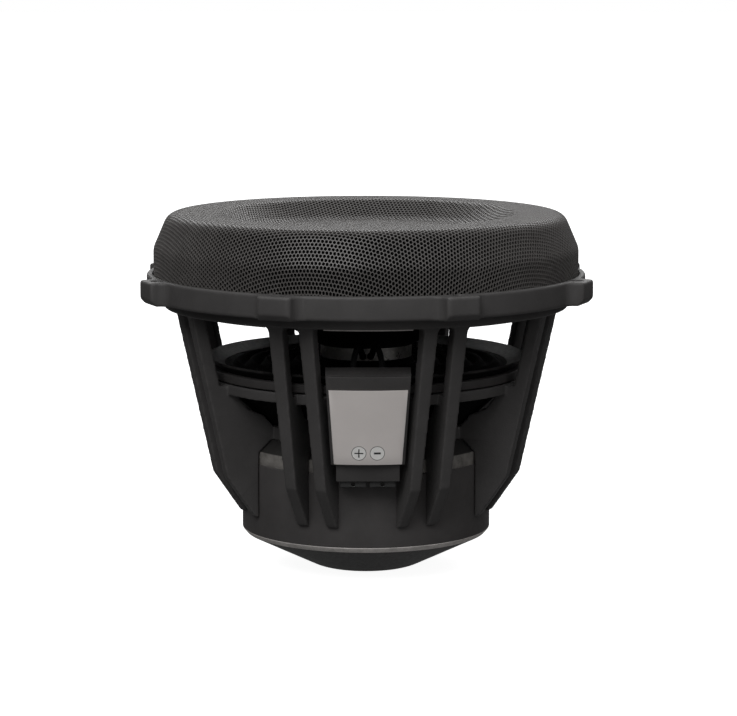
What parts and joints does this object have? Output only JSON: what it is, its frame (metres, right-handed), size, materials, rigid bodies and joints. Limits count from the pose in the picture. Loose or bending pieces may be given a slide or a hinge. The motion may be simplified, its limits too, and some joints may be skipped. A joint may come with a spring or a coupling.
{
  "type": "car subwoofer speaker",
  "caption": "Round driver with a ribbed cast basket, a deep magnet motor, push-terminal blocks and a dished perforated steel grille over the cone.",
  "frame": {"origin": "centre of the bolt circle on the flange's rear face", "axes": "+Z along the speaker's axis to the listening side, -Y to the first terminal block"},
  "size_m": [0.3058, 0.3058, 0.2467],
  "materials": {
    "cast_black": "fine textured powder coat, satin",
    "grille_steel": "satin black paint on perforated steel",
    "rubber_black": "matt",
    "ring_black": "matt moulded",
    "plate_steel": "thin worn coating on machined steel",
    "ferrite": "matt sintered",
    "cover_black": "fine textured paint",
    "bare_steel": "machined",
    "copper": "enamelled wire",
    "cap_black": "fine textured",
    "screw_steel": "black oxide",
    "cone_black": "pressed fibre, matt",
    "former_aluminium": "mottled foil",
    "surround_rubber": "satin",
    "spider_cloth": "woven cotton, resin dipped",
    "screen_cloth": "fine black cloth",
    "terminal_black": "fine moulded grain",
    "label_grey": "satin grey foil",
    "contact_brass": "plated",
    "tab_black": "semi-gloss",
    "spring_steel": "bright",
    "lead_sleeve": "braided sleeve"
  },
  "bodies": {
    "frame": {"basket": "cast_black", "bore_ring": "bare_steel", "dust_screen": "screen_cloth", "grille": "grille_steel", "grille_seal": "rubber_black", "surround_clamp_ring": "ring_black", "spider_clamp_ring": "ring_black", "spider_spacer": "ring_black", "top_plate": "plate_steel", "magnet_upper": "ferrite", "magnet_lower": "ferrite", "motor_cover": "cover_black", "back_plate": "bare_steel", "pole_piece": "bare_steel", "shorting_ring": "copper", "bottom_cap": "cap_black", "vent_screen": "ring_black", "motor_screws": "screw_steel", "terminal_housing_front": "terminal_black", "terminal_cover_front": "terminal_black", "label_plate_front": "label_grey", "terminal_contacts_front": "contact_brass", "terminal_screws_front": "screw_steel", "lead_bushings_front": "rubber_black", "tab_spring_front_pos": "spring_steel", "tab_spring_front_neg": "spring_steel", "terminal_housing_rear": "terminal_black", "terminal_cover_rear": "terminal_black", "label_plate_rear": "label_grey", "terminal_contacts_rear": "contact_brass", "terminal_screws_rear": "screw_steel", "lead_bushings_rear": "rubber_black", "tab_spring_rear_pos": "spring_steel", "tab_spring_rear_neg": "spring_steel"},
    "cone_assembly": {"cone": "cone_black", "dust_cap": "cone_black", "coil_former": "former_aluminium", "winding_inner": "copper", "winding_outer": "copper", "surround": "surround_rubber", "spider_upper": "spider_cloth", "spider_lower": "spider_cloth", "lead_front_pos": "lead_sleeve", "lead_front_neg": "lead_sleeve", "lead_rear_pos": "lead_sleeve", "lead_rear_neg": "lead_sleeve"},
    "tab_front_pos": {"push_tab_front_pos": "tab_black"},
    "tab_front_neg": {"push_tab_front_neg": "tab_black"},
    "tab_rear_pos": {"push_tab_rear_pos": "tab_black"},
    "tab_rear_neg": {"push_tab_rear_neg": "tab_black"}
  },
  "joints": [
    {"name": "cone_travel", "type": "slide", "parent": "frame", "child": "cone_assembly", "axis": [0, 0, 1], "range_m": [-0.02, 0.02], "stiffness_N_per_m": 9000, "springref_m": 0.0004, "deforming": ["surround", "spider_upper", "spider_lower", "lead_front_pos", "lead_front_neg", "lead_rear_pos", "lead_rear_neg"]},
    {"name": "tab_front_pos_push", "type": "slide", "parent": "frame", "child": "tab_front_pos", "axis": [0, 0, 1], "range_m": [0, 0.003], "stiffness_N_per_m": 300, "springref_m": -0.002, "deforming": ["tab_spring_front_pos"]},
    {"name": "tab_front_neg_push", "type": "slide", "parent": "frame", "child": "tab_front_neg", "axis": [0, 0, 1], "range_m": [0, 0.003], "stiffness_N_per_m": 300, "springref_m": -0.002, "deforming": ["tab_spring_front_neg"]},
    {"name": "tab_rear_pos_push", "type": "slide", "parent": "frame", "child": "tab_rear_pos", "axis": [0, 0, 1], "range_m": [0, 0.003], "stiffness_N_per_m": 300, "springref_m": -0.002, "deforming": ["tab_spring_rear_pos"]},
    {"name": "tab_rear_neg_push", "type": "slide", "parent": "frame", "child": "tab_rear_neg", "axis": [0, 0, 1], "range_m": [0, 0.003], "stiffness_N_per_m": 300, "springref_m": -0.002, "deforming": ["tab_spring_rear_neg"]}
  ]
}
